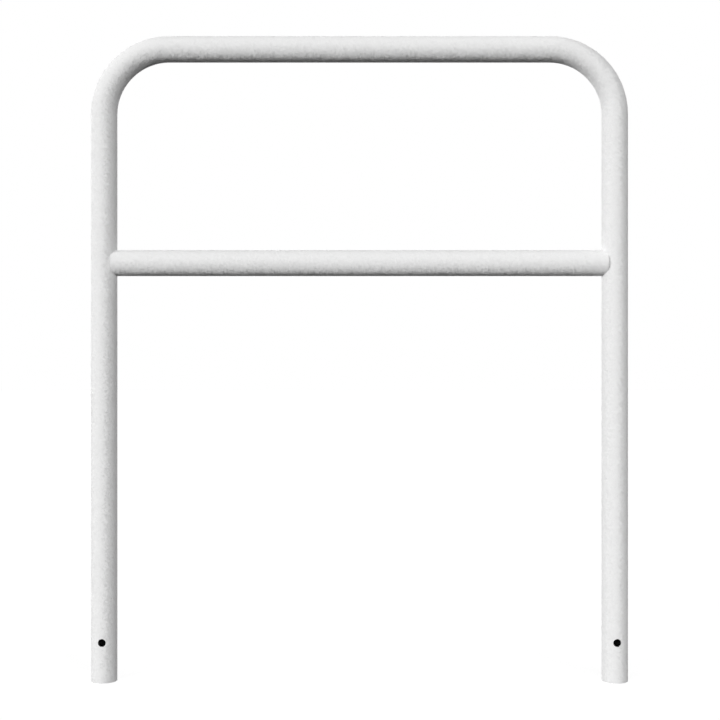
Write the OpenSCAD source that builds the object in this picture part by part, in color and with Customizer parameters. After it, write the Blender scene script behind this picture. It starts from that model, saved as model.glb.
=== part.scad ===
// Hoop barrier with crossbar: one steel tube bent into a hoop, and a crossbar of the same tube
// welded between its legs. The lower ends of the legs are cast into the ground, each with a hole
// for an anchor bar. Millimetres, +Z up, front towards -Y.
// The origin is the centre of the left leg's lower end.

/* [Tube] */
// Outside diameter of the tube that the hoop and the crossbar are made of
tube_d = 48.3; // [42.4:0.1:60.3]
// Wall thickness of the tube
tube_wall_t = 2.6; // [2:0.1:4]

/* [Hoop] */
// Overall width, across the outsides of the legs
hoop_w = 1000; // [600:5:2000]
// Overall height, from the lower ends of the legs to the top of the rail
hoop_h = 1200; // [1000:5:1600]
// Radius of the two bends, at the middle of the tube
bend_r = 121; // [80:1:250]

/* [Crossbar] */
// Height of the crossbar's middle above the lower ends of the legs
crossbar_z = 777.5; // [300:0.5:1000]
// How far the squared tips of the crossbar's saddle cut stand out from the front of the leg
tip_stand_off = 5.5; // [3:0.1:7]

/* [Welds] */
// Gap between the saddle cut and the leg, which the weld fills
root_gap = 1; // [0.5:0.1:2]
// Depth of the weld, outwards from the surface of the leg
weld_depth = 3; // [2.5:0.1:4]
// How far the weld laps onto the leg behind the squared tips, inside the crossbar's bore
weld_lap = 0.6; // [0.3:0.1:1.5]

/* [Holes] */
// Diameter of the anchor bar's hole, through both walls of a leg
anchor_hole_d = 14.5; // [8:0.5:20]
// Height of the anchor bar's hole above the lower end of the leg
anchor_hole_z = 75; // [30:1:200]
// Diameter of the hidden hole from each leg into the crossbar, which lets molten zinc in and out
vent_hole_d = 12; // [6:0.5:20]

/* [Hidden] */
$fn = 96;
// Facets round a whole circle of the bends
bend_fn = 360;
zinc_grey = [0.86, 0.87, 0.88];
// How far a cutting tool runs past the face that it cuts
past = 1;
tube_r = tube_d / 2;
tube_bore_d = tube_d - 2 * tube_wall_t;
leg_spacing = hoop_w - tube_d;
rail_z = hoop_h - tube_r;
bend_z = rail_z - bend_r;
// Distance from a leg's middle to the squared tips of the saddle cut
saddle_tip_x = sqrt(pow(tube_r, 2) - pow(tube_r - tip_stand_off, 2));
weld_bore_d = 2 * (tube_r - tip_stand_off - weld_lap);

// What it is given, at the left leg and again, mirrored, at the right leg
module at_both_legs() {
    children();
    translate([leg_spacing, 0, 0])
        mirror([1, 0, 0])
            children();
}

// A quarter turn of bar, from upright at the origin to level along +X
module quarter_bend(d) {
    translate([bend_r, 0, 0])
        rotate([90, 0, 0])
            rotate([0, 0, 90])
                rotate_extrude(angle = 90, $fn = bend_fn)
                    translate([bend_r, 0])
                        circle(d = d);
}

// One leg and its bend as solid bar, with its lower end run_out longer
module leg_and_bend(d, run_out) {
    translate([0, 0, -run_out])
        cylinder(d = d, h = bend_z + run_out);
    translate([0, 0, bend_z])
        quarter_bend(d);
}

// The whole bent hoop as solid bar
module hoop_bar(d, run_out = 0) {
    at_both_legs()
        leg_and_bend(d, run_out);
    translate([bend_r, 0, rail_z])
        rotate([0, 90, 0])
            cylinder(d = d, h = leg_spacing - 2 * bend_r);
}

// The crossbar as solid bar, between the squared tips of its saddle cuts
module crossbar_bar(d, run_out = 0) {
    translate([saddle_tip_x - run_out, 0, crossbar_z])
        rotate([0, 90, 0])
            cylinder(d = d, h = leg_spacing - 2 * saddle_tip_x + 2 * run_out);
}

// The stretch of the left leg that the crossbar meets, as solid bar
module leg_at_crossbar(d) {
    translate([0, 0, crossbar_z])
        cylinder(d = d, h = tube_d + 2 * past, center = true);
}

// The hole for the anchor bar, front to back through the left leg
module anchor_hole() {
    translate([0, 0, anchor_hole_z])
        rotate([90, 0, 0])
            cylinder(d = anchor_hole_d, h = tube_d + 2 * past, center = true);
}

// The hole through the left leg's inner wall, into the crossbar
module vent_hole() {
    translate([0, 0, crossbar_z])
        rotate([0, 90, 0])
            cylinder(d = vent_hole_d, h = tube_r + past);
}

// The weld round the crossbar's left end, dressed flush with the outside of the crossbar
module end_weld() {
    difference() {
        intersection() {
            crossbar_bar(tube_d);
            leg_at_crossbar(tube_d + 2 * weld_depth);
        }
        leg_at_crossbar(tube_d);
        crossbar_bar(weld_bore_d, past);
        crossbar();
    }
}

// The hoop: two legs, two bends and the top rail, bent from one tube
module hoop_tube() {
    color(zinc_grey)
        difference() {
            hoop_bar(tube_d);
            hoop_bar(tube_bore_d, past);
            at_both_legs() {
                anchor_hole();
                vent_hole();
            }
        }
}

// The crossbar, each end cut to a saddle round its leg and the tips of the saddle cut square
module crossbar() {
    color(zinc_grey)
        difference() {
            crossbar_bar(tube_d);
            crossbar_bar(tube_bore_d, past);
            at_both_legs()
                leg_at_crossbar(tube_d + 2 * root_gap);
        }
}

// The weld between the crossbar and the left leg
module left_weld() {
    color(zinc_grey)
        end_weld();
}

// The weld between the crossbar and the right leg
module right_weld() {
    color(zinc_grey)
        translate([leg_spacing, 0, 0])
            mirror([1, 0, 0])
                end_weld();
}

hoop_tube();
crossbar();
left_weld();
right_weld();
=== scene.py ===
"""Looks of the hoop barrier with crossbar: a hot-dip galvanised hoop in a plain bright studio.

Metres, +Z up, front towards -Y. The origin is the centre of the left leg's lower end.
"""
import math

import bpy
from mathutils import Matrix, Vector


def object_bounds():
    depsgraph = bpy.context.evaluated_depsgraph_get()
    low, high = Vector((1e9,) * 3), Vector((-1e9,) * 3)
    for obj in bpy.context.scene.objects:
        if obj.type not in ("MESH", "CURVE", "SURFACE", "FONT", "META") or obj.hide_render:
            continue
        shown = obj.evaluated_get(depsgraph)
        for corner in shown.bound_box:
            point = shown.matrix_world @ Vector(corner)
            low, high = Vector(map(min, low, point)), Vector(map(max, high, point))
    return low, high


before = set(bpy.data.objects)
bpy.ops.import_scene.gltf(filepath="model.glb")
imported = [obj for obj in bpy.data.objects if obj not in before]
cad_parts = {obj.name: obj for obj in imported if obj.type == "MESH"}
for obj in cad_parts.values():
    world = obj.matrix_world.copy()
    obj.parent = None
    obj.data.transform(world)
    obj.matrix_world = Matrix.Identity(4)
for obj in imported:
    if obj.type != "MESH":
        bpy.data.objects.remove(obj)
cad_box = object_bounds()

# The hoop's sizes, from the frame. Its bends have this radius at the middle of the tube.
LOW, HIGH = cad_box
TUBE_RADIUS = (HIGH.y - LOW.y) / 2
LEG_SPACING = HIGH.x - LOW.x - 2 * TUBE_RADIUS
BEND_RADIUS = 0.121
BEND_START = HIGH.z - TUBE_RADIUS - BEND_RADIUS

# The photograph's frame in pixels, and where its camera stands
IMAGE_PX = 720
SENSOR_MM = 36.0
FOCAL_PX = 1302.6
HORIZON_ROW = 332.4
CENTRE_COLUMN = 359.5
CAMERA_DISTANCE = 2.4283
CAMERA_HEIGHT = 0.6484

# Lamps: name, azimuth from the front towards +X, elevation, level on a face that looks at the
# lamp, and whether it glints. The back lamp would glint along the rims.
LAMPS = (
    ("front_left", -30, 22, 0.31, True),
    ("front_right", 30, 22, 0.36, True),
    ("front_top", 3, 38, 0.17, True),
    ("left", -60, 10, 0.49, True),
    ("back_left", -120, 10, 0.25, True),
    ("back", 166, 12, 0.45, False),
)
LAMP_WIDTH_DEGREES = 16
AMBIENT_LEVEL = 0.01
WHITE_LEVEL = 1.0
WHITE = (1, 1, 1, 1)

# The floor: what the camera and reflections see, and what it throws back onto the object
FLOOR_HALF = 12.0
FLOOR_SHADE_ALBEDO = 0.2
FLOOR_GLOW = 0.9
FLOOR_BOUNCE_ALBEDO = 0.09

# The zinc coat: its linear grey, and how glossy it is
ZINC_GREY = 0.82
ZINC_SPECULAR = 0.08
ZINC_DIFFUSE_ROUGHNESS = 0.25

# Painted shade: the legs' bore is coloured darker than zinc, standing in for the shade inside it.
# The painted shade ends this far under the outer surface, fades over this much, and starts
# this far up from the cut end.
BORE_PAINTED_SHADE_GREY = 0.25
BORE_SHADE_SKIN = 0.00015
BORE_SHADE_FADE = 0.0002
BORE_SHADE_MOUTH = 0.003

# Spangle: crystals that differ in tone and roughness and lean to and fro, most of all sideways
SPANGLE_SIZE = 0.003
SPANGLE_WARP_SIZE = 0.005
SPANGLE_TILT = (0.38, 0.21, 0.17)
SPANGLE_TONE = (0.97, 1.03)
SPANGLE_ROUGHNESS = (0.42, 0.58)

# Clouding: broad and very faint
CLOUD_SIZE = 0.07
CLOUD_NOISE = (0.3, 0.7)
CLOUD_TONE = (0.998, 1.002)

# Unevenness of the surface
RIPPLE_SIZE = 0.003
RIPPLE_HEIGHT = 0.0003
GRAIN_SIZE = 0.0016
GRAIN_HEIGHT = 0.00003


def add_camera():
    """The photograph's camera: level, looking along +Y at the middle of the hoop."""
    data = bpy.data.cameras.new("camera")
    data.sensor_width = SENSOR_MM
    data.lens = FOCAL_PX * SENSOR_MM / IMAGE_PX
    data.shift_x = (IMAGE_PX / 2 - CENTRE_COLUMN) / IMAGE_PX
    data.shift_y = (HORIZON_ROW - IMAGE_PX / 2) / IMAGE_PX
    camera = bpy.data.objects.new("camera", data)
    camera.location = ((LOW.x + HIGH.x) / 2, -CAMERA_DISTANCE, CAMERA_HEIGHT)
    camera.rotation_euler = (math.pi / 2, 0, 0)
    bpy.context.scene.collection.objects.link(camera)
    bpy.context.scene.camera = camera


def add_lamp(name, azimuth, elevation, level, glints):
    """A soft distant lamp. level is the brightness of a white matt face that looks at it."""
    data = bpy.data.lights.new(name, "SUN")
    data.energy = level * math.pi
    data.angle = math.radians(LAMP_WIDTH_DEGREES)
    lamp = bpy.data.objects.new(name, data)
    lamp.visible_glossy = glints
    az = math.radians(azimuth)
    el = math.radians(elevation)
    towards = Vector((math.cos(el) * math.sin(az), -math.cos(el) * math.cos(az), math.sin(el)))
    lamp.rotation_euler = towards.to_track_quat("Z", "Y").to_euler()
    bpy.context.scene.collection.objects.link(lamp)


def emptied_tree(owner):
    """The node tree of a material or world, with nothing in it."""
    owner.use_nodes = True
    tree = owner.node_tree
    tree.nodes.clear()
    return tree


def add_node(tree, kind, inputs=None, **settings):
    """A node with its settings. An input is a constant or another node's output socket."""
    node = tree.nodes.new(kind)
    for key, value in settings.items():
        setattr(node, key, value)
    for key, value in (inputs or {}).items():
        if isinstance(value, bpy.types.NodeSocket):
            tree.links.new(value, node.inputs[key])
        else:
            node.inputs[key].default_value = value
    return node


def calculate(tree, operation, *operands):
    """The result of an operation on numbers."""
    return add_node(tree, "ShaderNodeMath", dict(enumerate(operands)), operation=operation).outputs[0]


def calculate_vector(tree, operation, *operands):
    """The result of an operation on vectors."""
    inputs = dict(enumerate(operands))
    return add_node(tree, "ShaderNodeVectorMath", inputs, operation=operation).outputs["Vector"]


def spread(tree, value, start, end):
    """A value moved from one range to another, and kept inside it."""
    inputs = {
        "Value": value,
        "From Min": start[0],
        "From Max": start[1],
        "To Min": end[0],
        "To Max": end[1],
    }
    return add_node(tree, "ShaderNodeMapRange", inputs).outputs[0]


def noise(tree, place, size, detail):
    """Cloudy noise with marks of a size."""
    return add_node(tree, "ShaderNodeTexNoise", {"Vector": place, "Scale": 1 / size, "Detail": detail})


def bump(tree, height, distance, normal):
    """A normal that follows a height."""
    inputs = {"Height": height, "Distance": distance, "Strength": 1.0, "Normal": normal}
    return add_node(tree, "ShaderNodeBump", inputs).outputs[0]


def grey_diffuse(tree, albedo):
    """A plain matt grey."""
    return add_node(tree, "ShaderNodeBsdfDiffuse", {"Color": (albedo, albedo, albedo, 1)}).outputs[0]


def lit_and_seen(tree, lit, seen):
    """One shader for rays that light the object, another for the camera and for gloss or glass."""
    path = add_node(tree, "ShaderNodeLightPath").outputs
    opaque = calculate(tree, "MAXIMUM", path["Is Camera Ray"], path["Is Glossy Ray"])
    direct = calculate(tree, "MAXIMUM", opaque, path["Is Transmission Ray"])
    return add_node(tree, "ShaderNodeMixShader", {0: direct, 1: lit, 2: seen}).outputs[0]


def set_world():
    """White where it is seen, and a dim grey where it lights the object."""
    world = bpy.data.worlds.new("studio")
    bpy.context.scene.world = world
    tree = emptied_tree(world)
    dim = add_node(tree, "ShaderNodeBackground", {"Color": WHITE, "Strength": AMBIENT_LEVEL})
    white = add_node(tree, "ShaderNodeBackground", {"Color": WHITE, "Strength": WHITE_LEVEL})
    surface = lit_and_seen(tree, dim.outputs[0], white.outputs[0])
    add_node(tree, "ShaderNodeOutputWorld", {"Surface": surface})


def add_floor():
    """A white floor that keeps the hoop's soft shadow."""
    material = bpy.data.materials.new("studio_floor")
    tree = emptied_tree(material)
    shade = grey_diffuse(tree, FLOOR_SHADE_ALBEDO)
    glow = add_node(tree, "ShaderNodeEmission", {"Color": WHITE, "Strength": FLOOR_GLOW})
    seen = add_node(tree, "ShaderNodeAddShader", {0: shade, 1: glow.outputs[0]})
    surface = lit_and_seen(tree, grey_diffuse(tree, FLOOR_BOUNCE_ALBEDO), seen.outputs[0])
    add_node(tree, "ShaderNodeOutputMaterial", {"Surface": surface})
    mesh = bpy.data.meshes.new("floor")
    signs = ((-1, -1), (1, -1), (1, 1), (-1, 1))
    corners = [(x * FLOOR_HALF, y * FLOOR_HALF, 0) for x, y in signs]
    mesh.from_pydata(corners, [], [(0, 1, 2, 3)])
    mesh.materials.append(material)
    floor = bpy.data.objects.new("floor", mesh)
    bpy.context.scene.collection.objects.link(floor)


def distance_from_bore(tree, place, shade_edge):
    """How far a point is from the nearer leg's middle line, between its mouth and its bend; it places
    the painted shade in the bore.
    """
    x, y, z = add_node(tree, "ShaderNodeSeparateXYZ", {0: place}).outputs
    from_middle = calculate(tree, "SUBTRACT", x, LEG_SPACING / 2)
    beside = calculate(tree, "ABSOLUTE", from_middle)
    across = calculate(tree, "SUBTRACT", beside, LEG_SPACING / 2)
    below = spread(tree, z, (0.0, BORE_SHADE_MOUTH), (shade_edge, 0.0))
    above = calculate(tree, "SUBTRACT", z, BEND_START)
    beyond = calculate(tree, "MAXIMUM", above, below)
    offset = add_node(tree, "ShaderNodeCombineXYZ", {0: across, 1: y, 2: beyond})
    length = add_node(tree, "ShaderNodeVectorMath", {0: offset.outputs[0]}, operation="LENGTH")
    return length.outputs["Value"]


def zinc_colour(tree, place, crystal):
    """Grey with the tones of the spangle and the clouds, and painted shade inside the legs' bore."""
    shade_edge = TUBE_RADIUS - BORE_SHADE_SKIN
    distance = distance_from_bore(tree, place, shade_edge)
    # Painted shade: grey is darkened inside the legs' bore to stand in for the shade there
    grey = spread(tree, distance, (shade_edge - BORE_SHADE_FADE, shade_edge), (BORE_PAINTED_SHADE_GREY, ZINC_GREY))
    cloud = noise(tree, place, CLOUD_SIZE, 3.0)
    cloud_tone = spread(tree, cloud.outputs[0], CLOUD_NOISE, CLOUD_TONE)
    spangle_tone = spread(tree, crystal, (0.0, 1.0), SPANGLE_TONE)
    tone = calculate(tree, "MULTIPLY", spangle_tone, cloud_tone)
    value = calculate(tree, "MULTIPLY", tone, grey)
    return add_node(tree, "ShaderNodeCombineColor", {0: value, 1: value, 2: value}).outputs[0]


def zinc_normal(tree, place, crystals):
    """Each crystal leans its own way, and a fine ripple and grain run over them all."""
    shape = add_node(tree, "ShaderNodeNewGeometry").outputs["Normal"]
    lean = calculate_vector(tree, "SUBTRACT", crystals, (0.5, 0.5, 0.5))
    leaning = calculate_vector(tree, "MULTIPLY_ADD", lean, SPANGLE_TILT, shape)
    facet = calculate_vector(tree, "NORMALIZE", leaning)
    ripple = noise(tree, place, RIPPLE_SIZE, 2.0)
    rippled = bump(tree, ripple.outputs[0], RIPPLE_HEIGHT, facet)
    grain = noise(tree, place, GRAIN_SIZE, 1.0)
    return bump(tree, grain.outputs[0], GRAIN_HEIGHT, rippled)


def zinc_material():
    """Matt grey zinc with a faint spangle."""
    material = bpy.data.materials.new("galvanised_zinc")
    tree = emptied_tree(material)
    place = add_node(tree, "ShaderNodeTexCoord").outputs["Object"]
    warp = noise(tree, place, SPANGLE_WARP_SIZE, 2.0)
    reach = (SPANGLE_SIZE,) * 3
    warped = calculate_vector(tree, "MULTIPLY_ADD", warp.outputs["Color"], reach, place)
    cells = add_node(tree, "ShaderNodeTexVoronoi", {"Vector": warped, "Scale": 1 / SPANGLE_SIZE})
    crystals = cells.outputs["Color"]
    tone, gloss, _ = add_node(tree, "ShaderNodeSeparateColor", {"Color": crystals}).outputs
    shader = add_node(tree, "ShaderNodeBsdfPrincipled", {
        "Base Color": zinc_colour(tree, place, tone),
        "Roughness": spread(tree, gloss, (0.0, 1.0), SPANGLE_ROUGHNESS),
        "Specular IOR Level": ZINC_SPECULAR,
        "Diffuse Roughness": ZINC_DIFFUSE_ROUGHNESS,
        "Normal": zinc_normal(tree, place, crystals),
    })
    add_node(tree, "ShaderNodeOutputMaterial", {"Surface": shader.outputs[0]})
    return material


def coat_with_zinc():
    """The whole hoop is dipped after welding, so its parts share one coat."""
    zinc = zinc_material()
    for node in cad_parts.values():
        node.data.materials.clear()
        node.data.materials.append(zinc)


scene = bpy.context.scene
scene.view_settings.view_transform = "Standard"
add_camera()
for lamp in LAMPS:
    add_lamp(*lamp)
set_world()
add_floor()
coat_with_zinc()
